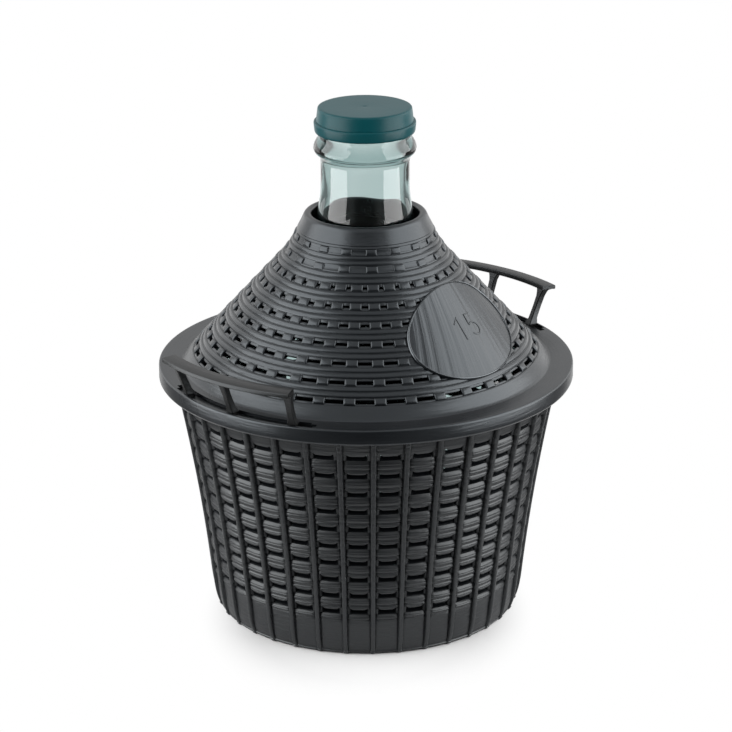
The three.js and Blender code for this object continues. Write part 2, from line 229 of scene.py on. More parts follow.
# A smooth profile through control points
def spline(points, steps=6):
    points = np.asarray(points, dtype=float)
    padded = np.vstack([2 * points[0] - points[1], points, 2 * points[-1] - points[-2]])
    out = []
    for i in range(1, len(padded) - 2):
        p0, p1, p2, p3 = padded[i - 1 : i + 3]
        square = 2 * p0 - 5 * p1 + 4 * p2 - p3
        cube = 3 * p1 - p0 - 3 * p2 + p3
        for t in np.arange(steps) / steps:
            out.append(0.5 * (2 * p1 + (p2 - p0) * t + square * t * t + cube * t**3))
    out.append(points[-1])
    return np.array(out)


# A ring-shaped shell with slots. outer[row, column] and inner[row, column] are points round the axis,
# link gives the inner row behind an outer row, and hole marks the outer cells that are cut through.
def slotted_shell(outer, inner, link, hole):
    rows, columns = outer.shape[:2]
    inner_rows = inner.shape[0]
    verts = np.concatenate([outer.reshape(-1, 3), inner.reshape(-1, 3)])
    start = rows * columns
    faces = []
    inner_hole = np.zeros((inner_rows - 1, columns), dtype=bool)
    for j in range(rows - 1):
        if hole[j].any():
            inner_hole[link[j]] |= hole[j]
    for j in range(rows - 1):
        for i in range(columns):
            n = (i + 1) % columns
            if not hole[j, i]:
                faces.append([j * columns + i, j * columns + n, (j + 1) * columns + n, (j + 1) * columns + i])
                continue
            a, b = start + link[j] * columns, start + link[j + 1] * columns
            if j == 0 or not hole[j - 1, i]:
                faces.append([j * columns + n, j * columns + i, a + i, a + n])
            if not hole[j + 1, i]:
                faces.append([(j + 1) * columns + i, (j + 1) * columns + n, b + n, b + i])
            if not hole[j, i - 1]:
                faces.append([j * columns + i, (j + 1) * columns + i, b + i, a + i])
            if not hole[j, n]:
                faces.append([(j + 1) * columns + n, j * columns + n, a + n, b + n])
    for s in range(inner_rows - 1):
        for i in range(columns):
            n = (i + 1) % columns
            if not inner_hole[s, i]:
                a, b = start + s * columns, start + (s + 1) * columns
                faces.append([a + n, a + i, b + i, b + n])
    last, inner_last = (rows - 1) * columns, start + (inner_rows - 1) * columns
    for i in range(columns):
        n = (i + 1) % columns
        faces.append([n, i, start + i, start + n])
        faces.append([last + i, last + n, inner_last + n, inner_last + i])
    return verts, faces


# Strand section between 0 and 1 across its height: round, with its edges low
def strand(t, depth):
    t = np.clip(t, 0.0, 1.0)
    return -depth * (1.0 - np.sqrt(np.maximum(0.0, 1.0 - (2.0 * t - 1.0) ** 2)))


# Strand with a rounded lower part, up to belly, above which it leans in toward its top, and a groove halfway
def leaning_strand(t, belly, lip, lean):
    low = np.clip(1.0 - t / belly, 0.0, 1.0)
    high = np.clip((t - belly) / (1.0 - belly), 0.0, 1.0)
    groove = np.clip(1.0 - np.abs(t - 0.5) / 0.1, 0.0, 1.0) ** 1.5
    return -lip * (1.0 - np.sqrt(1.0 - low * low)) - lean * high**2 - 0.42 * groove


def basket_object():
    # Columns across one bay, from rib middle to rib middle, in degrees from the bay's middle
    half = np.array([0.0, 1.3, 2.0, 2.5, 2.85, SLOT_HALF_ANGLE, 3.4, 3.75, 4.05, 4.15, 4.24, 4.38, 4.55,
                     4.75, 0.5 * BAY_ANGLE])
    offsets = np.concatenate([-half[:0:-1], half[:-1]])
    columns = np.concatenate([RIB_PHASE + (k + 0.5) * BAY_ANGLE + offsets for k in range(BAY_COUNT)])
    across = np.tile(np.abs(offsets), BAY_COUNT)
    rib_lift = np.sqrt(np.clip(1.0 - ((0.5 * BAY_ANGLE - across) / RIB_HALF_ANGLE) ** 4.2, 0.0, 1.0))

    # A bay's face on its strands and on the plain bands, then the raised ends of its slots and the web beside
    pillow = np.interp(across, [0.0, 1.3, 2.85, 3.4, 3.75, 4.05], [0.3, 0.26, 0.1, -0.1, -0.4, -0.9])
    plain = np.interp(across, [0.0, 3.4, 4.05], [-0.5, -0.7, -1.1])
    horn = SLOT_HORN * np.clip((across - 1.6) / (SLOT_HALF_ANGLE - 1.6), 0, 1) ** 2.2
    web = smoothstep(SLOT_HALF_ANGLE, 3.4, across)
    steps = np.array([0.0, 0.015, 0.04, 0.08, 0.13, 0.2, 0.3, 0.39, 0.44,
                      0.48, 0.52, 0.56, 0.61, 0.7, 0.8, 0.93, 1.0])

    rows = []

    def add_row(z, bay):
        rows.append((np.broadcast_to(z, across.shape).astype(float), np.broadcast_to(bay, across.shape)))

    for z in (0.0, 0.7, 2.4, 3.2):
        add_row(z, -0.5)
    for z in (5.0, 7.5, 11.0, 16.0, 22.0, 28.0, 34.0):
        add_row(z, plain)
    slots = []
    for k in range(BASKET_ROWS):
        z = row_height(k)
        slot_low, slot_high = z - SLOT_BELOW, z + SLOT_ABOVE + horn
        bottom = LOWEST_STRAND_FOOT if k == 0 else row_height(k - 1) + UPPER_STRAND_FOOT
        for t, proud in zip(steps, leaning_strand(steps, 0.3, 1.0, 2.1)):
            add_row(bottom + t * (slot_low - bottom), pillow + proud)
        slots.append(len(rows))
        add_row(slot_low + 0.3, (pillow - 3.2) * (1 - web) - 1.0 * web)
        if k + 1 == BASKET_ROWS:
            add_row(slot_high, plain - 0.3)
            add_row(slot_high + 0.5, plain)
            continue
        add_row(slot_high, pillow - 0.9 * (1 - web) - 0.6 * web)
        for t, proud in zip(steps[1:], leaning_strand(steps[1:], 0.5, 1.5, 0.8)):
            add_row(slot_high + t * (z + LOWER_STRAND_TOP - slot_high), pillow + proud)
    for z in (197.0, 203.0, 208.0, 214.0, 216.0):
        add_row(z, plain)

    outer = np.zeros((len(rows), len(columns), 3))
    for j, (z, bay) in enumerate(rows):
        rib = RIB_PROUD * (0.45 + 0.55 * smoothstep(2.0, 26.0, z))
        radius = wall_radius(z) + bay * (1 - rib_lift) + rib * rib_lift
        foot = 1.0 - np.sqrt(1.0 - (np.clip(FOOT_HEIGHT - z, 0.0, FOOT_HEIGHT) / FOOT_HEIGHT) ** 2)
        radius = radius - FOOT_TUCK * foot + 0.8 * (z < 2.5)
        outer[j] = polar(columns, radius, z)

    link = np.full(len(rows), -1)
    hole = np.zeros((len(rows), len(columns)), dtype=bool)
    next_across = np.roll(across, -1)
    slot_columns = np.maximum(across, next_across) <= SLOT_HALF_ANGLE + 1e-6

    def inner_ring(z):
        return polar(columns, wall_radius(np.maximum(z, 12.0)) - WALL_THICKNESS - 3.0 * (z < 2), z)

    inner = [inner_ring(rows[0][0])]
    for j in slots:
        for row, raised in ((j, SLOT_SLANT + 0.8 * horn), (j + 1, SLOT_SLANT)):
            link[row] = len(inner)
            inner.append(inner_ring(rows[row][0] + raised))
        hole[j] = slot_columns
    inner.append(inner_ring(rows[-1][0]))

    floor = turned([(0, 0.2), (127.5, 0.2), (129.5, 1.5), (129.5, 12.0), (126.0, 3.6), (0, 3.6)], 144)
    rim_inner = wall_radius(219.0) - 4.5
    rim = turned(
        [(rim_inner, 212.0), (rim_inner + 4, 212.0), (rim_inner + 6, 215.6), (176.0, 216.0), (176.5, 216.5),
         (176.5, 218.6), (176.1, 219.0), (rim_inner, 219.0)], 180, closed=True)
    verts, faces = join_parts([slotted_shell(outer, np.stack(inner), link, hole), floor, rim])
    return make_object("basket_lattice", verts, faces, 40.0)


def under_plate(azimuth, row):
    up = (PLATE_ROW - row) * CONE_PITCH - PLATE_RISE
    across = np.radians(turn_from(PLATE_AZIMUTH, azimuth)) * cone_base(PLATE_ROW)[0] - PLATE_LEAN * up
    return np.hypot(across / PLATE_HALF_ACROSS, up / PLATE_HALF_UP) < 1.02


def cover_object():
    fractions = np.array([-1.05, -1.02, -0.95, -0.83, -0.6, 0.0, 0.6, 0.83, 0.95, 1.02, 1.05])
    swell = np.array([0.0, 0.42, 0.74, 0.9, 0.97, 1.0, 0.97, 0.9, 0.74, 0.42, 0.0])
    gaps = np.array([0.2, 0.4, 0.6, 0.8])

    def column_angles(radius):
        half = min(math.degrees(KNUCKLE_HALF_WIDTH / radius), 4.2)
        knuckle = half * fractions
        edge = half * fractions[-1]
        one = np.concatenate([knuckle, edge + (BAY_ANGLE - 2 * edge) * gaps])
        return (KNUCKLE_PHASE + np.arange(BAY_COUNT)[:, None] * BAY_ANGLE + one[None, :]).reshape(-1)

    per_sector = len(fractions) + len(gaps)
    column_count = per_sector * BAY_COUNT
    knuckle = np.tile(np.concatenate([swell, np.zeros(len(gaps))]), BAY_COUNT)
    sector = np.repeat(np.arange(BAY_COUNT), per_sector)
    sparse_knuckle = np.where(sector % 2 == 0, knuckle, 0.0)
    cell_gap = np.tile(np.array([False] * (len(fractions) - 1) + [True] * (len(gaps) + 1)), BAY_COUNT)

    outer, link, inner = [], [], []
    slits = {}

    def add_plain(radius, z, behind=None):
        angles = column_angles(max(radius, 60.0))
        outer.append(polar(angles, radius, z))
        link.append(-1 if behind is None else len(inner))
        if behind is not None:
            inner.append(polar(angles, behind[0], behind[1]))

    # Collar, from inside its mouth over its rounded top to the step above the first ridge
    add_plain(46.0, 339.0, (48.5, 338.5))
    for r, z in [(46.0, 352.4), (46.3, 353.7), (47.2, 354.6), (48.6, 355.0), (50.2, 354.9), (51.6, 354.2),
                 (52.7, 352.9), (53.6, 351.0), (55.2, 347.4), (57.0, 344.0), (58.3, 341.5), (58.0, 340.8),
                 (58.3, 340.2)]:
        add_plain(r, z)

    def add_cone(row, proud, linked=False):
        r, z = cone_base(row)
        angles = column_angles(r)
        outer.append(polar(angles, r + CONE_NORMAL[0] * proud, z + CONE_NORMAL[1] * proud))
        link.append(len(inner) if linked else -1)
        if linked:
            behind = (r - CONE_NORMAL[0] * COVER_THICKNESS, z - CONE_NORMAL[1] * COVER_THICKNESS)
            inner.append(polar(angles, *behind))

    # One pitch down the slope: a band of knuckles with slits between them, then two strands. The band's
    # steps are (distance down the slope, height between knuckles, height of a knuckle).
    start, end = 0.76, 9.97
    round_steps = np.array([0.02, 0.09, 0.24, 0.5, 0.76, 0.91, 0.98])
    edges = np.concatenate([[1.0], np.zeros(len(fractions) - 2), [1.0, 0.3, 0.0, 0.0, 0.3]])
    notch = 0.3 * np.tile(edges, BAY_COUNT)
    slit_edges = (4, 5)
    for k in range(COVER_ROWS):
        is_open = k >= FIRST_OPEN_ROW
        posts = knuckle if is_open else sparse_knuckle
        slit = SLIT_HALF_HEIGHT + SLIT_GROWTH * max(0, k - SLIT_GROWTH_ROW)
        band = [(-3.35, -1.0, -0.85), (-2.95, -1.0, -0.15), (-2.5, -0.95, 0.15), (-2.0, -1.05, 0.35),
                (-slit, -1.2, 0.5), (slit, -1.2, 0.5), (2.1, -0.95, 0.35), (2.5, -0.8, 0.15),
                (2.95, -0.8, -0.15), (3.4, -0.9, -0.8)]
        for step, (offset, gap, crown) in enumerate(band):
            row = k + offset / CONE_PITCH
            if start < row < end:
                if is_open and step == slit_edges[0]:
                    slits[len(outer)] = k
                inside = notch if is_open and 0 < step < len(band) - 1 else 0.0
                floor = gap if is_open else 0.8 * gap
                add_cone(row, floor + (crown - floor) * posts - inside, linked=step in slit_edges)
        for first in () if k + 1 == COVER_ROWS else COVER_STRAND_STARTS:
            for t, proud in zip(round_steps, 0.1 + strand(round_steps, COVER_STRAND_DEPTH)):
                row = k + (first + t * COVER_STRAND_HEIGHT) / CONE_PITCH
                if start < row < end:
                    add_cone(row, np.full(column_count, proud))

    # Smooth apron, brim with the handle slots, then the skirt
    for row, proud in ((9.215, -0.5), (9.24, -0.15), (9.3, 0.0), (9.6, 0.05), (9.9, 0.0)):
        add_cone(row, np.full(column_count, proud))
    add_plain(159.8, 222.6)
    add_plain(160.8, BRIM_TOP, (158.0, BRIM_UNDERSIDE))
    brim_slot = len(outer)
    for radius in (166.5, 169.5, 174.5, 177.3):
        add_plain(radius, BRIM_TOP, (radius, BRIM_UNDERSIDE))
    for r, z in [(178.4, 222.4), (179.2, 222.1), (179.7, 221.5), (179.8, 220.6), (179.8, 215.0),
                 (179.9, 211.3), (179.8, 210.8), (179.5, 210.2), (179.0, 209.5), (178.5, 209.0),
                 (178.2, 208.9)]:
        add_plain(r, z)
    inner.append(polar(column_angles(178.0), 178.0, 219.4))
    inner.append(polar(column_angles(178.0), 178.0, 209.3))

    hole = np.zeros((len(outer), column_count), dtype=bool)
    for j, k in slits.items():
        hole[j] = cell_gap & ~under_plate(KNUCKLE_PHASE + (sector + 0.5) * BAY_ANGLE, k)
    angles = column_angles(170.0)
    following = np.roll(angles, -1)
    for j, limit in enumerate(BRIM_SLOT_HALF_ANGLES, brim_slot):
        for side in (0.0, 180.0):
            away = np.maximum(np.abs(turn_from(side, angles)), np.abs(turn_from(side, following)))
            hole[j] |= away < limit
    verts, faces = slotted_shell(np.stack(outer), np.stack(inner), np.array(link), hole)
    return make_object("cover_weave", verts, faces, 38.0)


# Point of the cone's outer face in the plate's own coordinates: across in mm, up the slope in mm
def plate_point(across, up, proud):
    row = PLATE_ROW - up / CONE_PITCH
    r, z = cone_base(row)
    centre_radius = cone_base(PLATE_ROW)[0]
    azimuth = PLATE_AZIMUTH + math.degrees(across / centre_radius)
    a = math.radians(azimuth)
    radius = r + CONE_NORMAL[0] * proud
    return (radius * math.cos(a), radius * math.sin(a), z + CONE_NORMAL[1] * proud)


# The oval leans to one side up the slope, and is a little wider at its upper end
def oval_point(across, up, proud):
    widened = across * (1.0 + PLATE_SPREAD * up / PLATE_HALF_UP)
    return plate_point(widened + PLATE_LEAN * up, up + PLATE_RISE, proud)


def plate_rim_object():
    around = 160
    rings = [(1.012, -1.6), (1.012, 0.3), (1.009, 0.8), (1.002, 1.45), (0.993, 1.85), (0.985, 1.9),
             (0.978, 1.6), (0.974, 0.9), (0.973, 0.2)]
    verts, faces = [], []
    for scale, proud in rings:
        for i in range(around):
            t = 2 * math.pi * i / around
            across = PLATE_HALF_ACROSS * scale * math.cos(t)
            verts.append(oval_point(across, PLATE_HALF_UP * scale * math.sin(t), proud))
    for j in range(len(rings)):
        k = (j + 1) % len(rings)
        for i in range(around):
            n = (i + 1) % around
            faces.append([j * around + i, j * around + n, k * around + n, k * around + i])
    return make_object("plate_rim", verts, faces, 50.0)


def plate_object():
    verts, faces = [], []
    columns, rows = 168, 14
    inside = PLATE_FACE_SHARE
    for i in range(columns + 1):
        share = inside * math.sin(math.pi * (i / columns - 0.5))
        reach = PLATE_HALF_UP * math.sqrt(max(0.0, inside**2 - share**2))
        across = PLATE_HALF_ACROSS * share
        place = (across / STAVE_WIDTH) % 1.0
        step = STAVE_STEP * (place - float(smoothstep(0.8, 1.0, place)))
        for j in range(rows + 1):
            verts.append(oval_point(across, reach * (2.0 * j / rows - 1.0), PLATE_FACE_PROUD + step))
    for i in range(columns):
        for j in range(rows):
            a, b = i * (rows + 1) + j, (i + 1) * (rows + 1) + j
            faces.append([a, b, b + 1, a + 1])
    return make_object("number_plate", verts, faces, 50.0)


# Profile swept about Z between two azimuths, closed at both ends
def swept_arc(outline, start, stop, steps):
    outline = np.asarray(outline, dtype=float)
    angles = np.linspace(start, stop, steps + 1)
    verts = polar(angles[:, None], outline[None, :, 0], outline[None, :, 1]).reshape(-1, 3)
    return verts, tube_faces(steps + 1, len(outline))


# A bar through rings of (distance across in mm, radius, height) points, closed at both ends
def bar(azimuth, sections):
    verts = []
    for ring in sections:
        for across, radius, z in ring:
            a = math.radians(azimuth) + across / radius
            verts.append((radius * math.cos(a), radius * math.sin(a), z))
    return verts, tube_faces(len(sections), len(sections[0]))


def handle_object(name, azimuth):
    parts = []
    rail = [(182.0, 253.2), (182.8, 252.5), (188.0, 252.5), (192.0, 253.0), (194.6, 252.5), (195.5, 253.2),
            (195.5, 255.4), (195.1, 256.1), (193.6, 256.6), (189.0, 257.0), (183.0, 257.5), (182.3, 257.2),
            (182.0, 256.6)]
    parts.append(swept_arc(rail, azimuth - HANDLE_RAIL_HALF_ANGLE, azimuth + HANDLE_RAIL_HALF_ANGLE, 40))

    def section(radius, z, half_across, half_depth):
        near, far = radius - half_depth, radius + half_depth
        side = half_across - LEG_CHAMFER
        return [(-half_across, near + LEG_CHAMFER, z), (-side, near, z), (side, near, z),
                (half_across, near + LEG_CHAMFER, z), (half_across, far - LEG_CHAMFER, z), (side, far, z),
                (-side, far, z), (-half_across, far - LEG_CHAMFER, z)]

    # Height, half width, half depth: foot, barb above the brim, shank, gusset under the rail
    rings = [(219.3, 2.9, 3.2), (222.6, 2.9, 3.2), (223.0, 4.1, 4.3), (224.2, 3.9, 4.1), (227.6, 2.9, 3.2),
             (238.0, 2.7, 3.1), (247.0, 2.9, 3.2), (250.5, 3.8, 3.4), (253.4, 5.2, 3.6)]
    for step in (-1, 0, 1):
        leg = []
        for z, half_across, half_depth in rings:
            radius = HANDLE_FOOT[0] + HANDLE_LEG_SLOPE * (z - HANDLE_FOOT[1])
            leg.append(section(radius, z, half_across, half_depth))
        parts.append(bar(azimuth + step * HANDLE_LEG_ANGLE, leg))
    verts, faces = join_parts(parts)
    return make_object(name, verts, faces, 30.0)


def bottle_object():
    outside = [(0, 15.8), (60, 12), (98, 4.6), (108, 3.8), (117, 6.5), (124, 13), (128, 24), (133, 66),
               (139, 115), (145, 158), (148, 182), (147, 203), (139, 222), (122, 243), (98, 269), (76, 292.5),
               (60, 311), (50, 327), (43.6, 344), (39.9, 361), (38.1, 376), (37.9, 392), (38.2, 402),
               (40.6, 406), (43.0, 408.6), (43.8, 411.5), (43.2, 415), (41.4, 418.6), (39.6, 421.5),
               (38.6, 425), (38.6, 438), (38.4, 441.5), (37.2, 443.4)]
    inside = [(34.6, 443.5), (33.6, 441.5), (33.4, 425), (33.4, 400), (33.5, 377), (35.6, 360), (39.2, 343),
              (45.4, 325.5), (55.6, 308.5), (71.8, 289), (93.8, 265.2), (117.6, 239.6), (134.2, 219.4),
              (142.4, 202), (143.4, 182), (140.4, 158), (134.4, 115), (128.4, 66), (123.4, 25), (119, 17),
              (112, 11), (98, 9.4), (60, 16.6), (0, 20.3)]
    facets = 160
    outside = spline(outside, 4)
    profile = np.vstack([outside, spline(inside, 4)])
    profile[0, 0] = 0.0
    profile[-1, 0] = 0.0
    verts, faces = turned(profile, facets)

    # The bore is a little uneven, as in pressed and blown glass
    bore = verts[len(outside) * facets :]
    angle, height = np.arctan2(bore[:, 1], bore[:, 0]), bore[:, 2]
    wave = 0.3 * np.sin(3 * angle + height / 9.0) + 0.22 * np.sin(5 * angle - height / 13.0 + 1.0)
    radius = np.maximum(np.hypot(bore[:, 0], bore[:, 1]), 1.0)
    in_neck = smoothstep(320.0, 350.0, height) * (1.0 - smoothstep(425.0, 440.0, height))
    grow = 1.0 + wave * in_neck / radius
    bore[:, :2] *= grow[:, None]
    return make_object("glass_bottle", verts, faces, 60.0)


def cap_object():
    profile = [(0, 446.5), (1.3, 446.5), (2.0, 446.7), (4.0, 446.8), (20.0, 446.85), (36.5, 447.0),
               (38.6, 446.95), (39.5, 446.6), (40.0, 446.0), (40.2, 445.0), (40.6, 442.0), (41.3, 435.5),
               (41.4, 434.9), (42.6, 434.8), (43.2, 434.5), (43.4, 433.8), (43.4, 432.4), (42.9, 427.4),
               (42.6, 426.2), (42.0, 425.4), (41.3, 425.2), (40.2, 425.2), (39.6, 425.6), (39.4, 427.0),
               (39.3, 443.0), (38.8, 443.9), (38.0, 444.1), (0, 444.1)]
    verts, faces = turned(profile, 144)
    return make_object("push_cap", verts, faces, 50.0)


# The plain capacity number on the plate, as flat raised strokes
def number_object():
    parts = []
    section = [(-0.75, 0.5), (-0.6, 1.2), (-0.3, 1.42), (0.3, 1.42), (0.6, 1.2), (0.75, 0.5)]

    def stroke(points, smooth=False):
        path = spline(points, 8) if smooth else np.array(points, dtype=float)
        verts = []
        for k, point in enumerate(path):
            before = point - path[k - 1] if k else path[1] - point
            after = path[k + 1] - point if k + 1 < len(path) else before
            before, after = before / np.linalg.norm(before), after / np.linalg.norm(after)
            middle = before + after
            middle = middle / np.linalg.norm(middle)
            normal = np.array([-middle[1], middle[0]]) / max(0.5, float(np.dot(middle, before)))
            for offset, proud in section:
                x, y = point + normal * offset
                verts.append(plate_point(x, y, proud))
        parts.append((verts, tube_faces(len(path), len(section))))

    stroke([(-5.7, -8.3), (-5.7, 12.4), (-11.2, 7.6)])
    stroke([(13.2, 13.0), (5.6, 13.0), (4.9, 3.4)])
    bowl = [(4.9, 3.4), (8.2, 4.9), (11.6, 4.2), (13.9, 1.2), (13.8, -3.0), (11.2, -6.4), (7.4, -6.8),
            (4.4, -4.8)]
    stroke(bowl, smooth=True)
    verts, faces = join_parts(parts)
    return make_object("capacity_number", verts, faces, 40.0)


def new_material(name):
    material = bpy.data.materials.new(name)
    material.use_nodes = True
    return material, material.node_tree, material.node_tree.nodes["Principled BSDF"]


# A shader node. An input is linked where it is given a socket, and otherwise set to the value.
def add_node(tree, kind, inputs, operation=None):
    node = tree.nodes.new("ShaderNode" + kind)
    if operation:
        node.operation = operation
    for name, source in inputs.items():
        if isinstance(source, bpy.types.NodeSocket):
            tree.links.new(source, node.inputs[name])
        else:
            node.inputs[name].default_value = source
    return node


def add_math(tree, operation, *values):
    return add_node(tree, "Math", dict(enumerate(values)), operation).outputs["Value"]


# A value brought from one range to another, and held at its ends
def add_range(tree, value, from_range, to_range, interpolation="LINEAR"):
    inputs = {"Value": value, "From Min": from_range[0], "From Max": from_range[1], "To Min": to_range[0],
              "To Max": to_range[1]}
    node = add_node(tree, "MapRange", inputs)
    node.interpolation_type = interpolation
    return node.outputs["Result"]


# The part of a direction or place that lies level
def add_flat(tree, split):
    return add_node(tree, "CombineXYZ", {"X": split.outputs["X"], "Y": split.outputs["Y"]}).outputs["Vector"]


def add_length(tree, vector):
    return add_node(tree, "VectorMath", {0: vector}, "LENGTH").outputs["Value"]


# Satin plastic with a fine grain and long streaks. streak gives their scale round the axis, out from it
# and up, and lean turns them round the axis on their way up.
def moulded_plastic(name, dark, light, roughness, grain, streak, streak_depth, lean=0.0):
    material, tree, shader = new_material(name)
    place = add_node(tree, "TexCoord", {}).outputs["Object"]
    broad = add_node(tree, "TexNoise", {"Vector": place, "Scale": 14.0, "Detail": 4.0}).outputs["Fac"]
    colour = add_node(tree, "ValToRGB", {"Fac": broad})
    for element, position, shade in zip(colour.color_ramp.elements, (0.3, 0.72), (dark, light)):
        element.position = position
        element.color = (*shade, 1)
    tree.links.new(colour.outputs["Color"], shader.inputs["Base Color"])
    tree.links.new(add_range(tree, broad, (0.0, 1.0), roughness), shader.inputs["Roughness"])

    # Cylinder coordinates, so that streaks follow the rings
    split = add_node(tree, "SeparateXYZ", {"Vector": place})
    turn = add_math(tree, "ARCTAN2", split.outputs["Y"], split.outputs["X"])
    turned_back = add_math(tree, "MULTIPLY_ADD", split.outputs["Z"], -lean, turn)
    reach = add_length(tree, add_flat(tree, split))
    rolled = add_node(tree, "CombineXYZ", {"X": turned_back, "Y": reach, "Z": split.outputs["Z"]})
    stretch = add_node(tree, "VectorMath", {0: rolled.outputs["Vector"], 1: streak}, "MULTIPLY")
    streaks = add_node(tree, "TexNoise", {"Vector": stretch.outputs["Vector"], "Scale": 1.0, "Detail": 2.0})
    fine = add_node(tree, "TexNoise", {"Vector": place, "Scale": 900.0, "Detail": 3.0})
    long_bump = add_node(tree, "Bump", {"Strength": 1.0, "Distance": streak_depth,
                                        "Height": streaks.outputs["Fac"]})
    bump = add_node(tree, "Bump", {"Strength": grain, "Distance": GRAIN_DEPTH, "Height": fine.outputs["Fac"],
                                   "Normal": long_bump.outputs["Normal"]})
    tree.links.new(bump.outputs["Normal"], shader.inputs["Normal"])
    return material


# Painted shade in the basket's slots: the sheen falls with the depth below the wall's outer face, so that the
# recesses read dark as if shaded
def paint_shade_in_slots(material):
    tree = material.node_tree
    place = add_node(tree, "TexCoord", {}).outputs["Object"]
    split = add_node(tree, "SeparateXYZ", {"Vector": place})
    rise = add_math(tree, "SUBTRACT", split.outputs["Z"], WALL_REFERENCE_HEIGHT * MM)
    slope = add_math(tree, "MULTIPLY_ADD", rise, WALL_FLARE / MM, WALL_TAPER)
    wall = add_math(tree, "MULTIPLY_ADD", rise, slope, WALL_REFERENCE_RADIUS * MM)
    proud = add_math(tree, "SUBTRACT", add_length(tree, add_flat(tree, split)), wall)
    # Painted shade: the sheen fades out between 2 mm and 3.5 mm below the wall's face
    sheen = add_range(tree, proud, (-3.5 * MM, -2.0 * MM), (0.02, 0.55))
    tree.links.new(sheen, tree.nodes["Principled BSDF"].inputs["Specular IOR Level"])


# Glass whose tint deepens with the length of the way through it
def tinted_glass():
    material, tree, shader = new_material("clear_glass")
    shader.inputs["Base Color"].default_value = (0.94, 0.975, 0.97, 1)
    shader.inputs["Roughness"].default_value = 0.0
    shader.inputs["IOR"].default_value = 1.5
    shader.inputs["Transmission Weight"].default_value = 1.0
    depth = add_node(tree, "VolumeAbsorption", {"Color": (0.25, 0.46, 0.455, 1), "Density": 85.0})
    tree.links.new(depth.outputs["Volume"], tree.nodes["Material Output"].inputs["Volume"])
    place = add_node(tree, "TexCoord", {}).outputs["Object"]
    ripple = add_node(tree, "TexNoise", {"Vector": place, "Scale": 22.0, "Detail": 1.0}).outputs["Fac"]
    bump = add_node(tree, "Bump", {"Strength": 0.2, "Distance": 0.001, "Height": ripple})
    tree.links.new(bump.outputs["Normal"], shader.inputs["Normal"])
    return material


# Near-black plastics, and the sheen and its tint in each
DARK, LIGHT = (0.0026, 0.0031, 0.0039), (0.0044, 0.0051, 0.0062)
black = moulded_plastic("black_plastic", DARK, LIGHT, (0.24, 0.34), 0.2, (6.0, 500.0, 500.0), 0.00014)
basket_black = moulded_plastic("basket_black", DARK, LIGHT, (0.34, 0.46), 0.35, (5.0, 380.0, 380.0), 0.0006)
plate_black = moulded_plastic("plate_black", DARK, LIGHT, (0.24, 0.32), 0.12, (30.0, 3.0, 3.0), 0.0005, 1.7)
rim_black = moulded_plastic("rim_black", DARK, LIGHT, (0.14, 0.2), 0.05, (6.0, 500.0, 500.0), 0.00005)
grip_black = moulded_plastic("grip_black", (0.0035, 0.0034, 0.0033), (0.0055, 0.0053, 0.0051),
                             (0.28, 0.4), 0.3, (6.0, 300.0, 300.0), 0.0002)
teal = moulded_plastic("teal_plastic", (0.0007, 0.037, 0.0435), (0.001, 0.046, 0.0535),
                       (0.3, 0.38), 0.1, (5.0, 120.0, 120.0), 0.00005)
for material, amount in ((teal, 0.19), (grip_black, 0.36), (rim_black, 0.9)):
    material.node_tree.nodes["Principled BSDF"].inputs["Specular IOR Level"].default_value = amount
blacks = (black, basket_black, plate_black, rim_black, grip_black)
for material, tint in zip(blacks, (0.86, 0.94, 0.86, 0.86, 0.9)):
    bluish = (tint, 0.5 * tint + 0.51, 1.0, 1)
    material.node_tree.nodes["Principled BSDF"].inputs["Specular Tint"].default_value = bluish
# Painted shade deep in the basket's slots
paint_shade_in_slots(basket_black)
glass = tinted_glass()

pieces = [
    (basket_object(), basket_black, "black_plastic", "base", "basket"),
    (handle_object("grip_right", 0.0), grip_black, "black_plastic", "base", "handle_right"),
    (handle_object("grip_left", 180.0), grip_black, "black_plastic", "base", "handle_left"),
    (cover_object(), black, "black_plastic", "base", "cover"),
    (plate_object(), plate_black, "black_plastic", "base", None),
    (plate_rim_object(), rim_black, "black_plastic", "base", None),
    (number_object(), black, "black_plastic", "base", None),
    (bottle_object(), glass, "clear_glass", "base", "demijohn"),
    (cap_object(), teal, "teal_plastic", "cap", "cap"),
]
for piece, material, slot, body, node in pieces:
    piece.data.materials.append(material)
    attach(piece, body)
    if node:
        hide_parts(node)


# Round pale floor: it keeps the object's shadow, and fades to plain white for the camera outside an oval
# that reaches out toward the camera
def add_floor(toward_camera):
    verts, faces = turned([(0, -0.05), (140, -0.05), (230, -0.05), (330, -0.05)], 96)
    floor = make_object("studio_floor", verts, faces)
    material, tree, shader = new_material("studio_white")
    shader.inputs["Base Color"].default_value = (0.6, 0.6, 0.6, 1)
    shader.inputs["Roughness"].default_value = 0.9
    shader.inputs["Specular IOR Level"].default_value = 0.0
    place = add_node(tree, "TexCoord", {}).outputs["Object"]
    bearing = math.atan2(toward_camera.y, toward_camera.x)
    oval = add_node(tree, "Mapping", {"Vector": place, "Location": toward_camera * FADE_OVAL_SHIFT,
                                      "Rotation": (0, 0, bearing), "Scale": FADE_OVAL})
    oval.vector_type = "TEXTURE"
    distance = add_length(tree, oval.outputs["Vector"])
    fade = add_range(tree, distance, (0.72, 1.08), (0.0, 1.0), "SMOOTHSTEP")
    path = add_node(tree, "LightPath", {})
    seen = add_math(tree, "MULTIPLY", fade, path.outputs["Is Camera Ray"])
    white = add_node(tree, "Emission", {"Color": (1, 1, 1, 1)})
    mix = add_node(tree, "MixShader", {"Fac": seen, 1: shader.outputs["BSDF"], 2: white.outputs["Emission"]})
    tree.links.new(mix.outputs["Shader"], tree.nodes["Material Output"].inputs["Surface"])
    floor.data.materials.append(material)


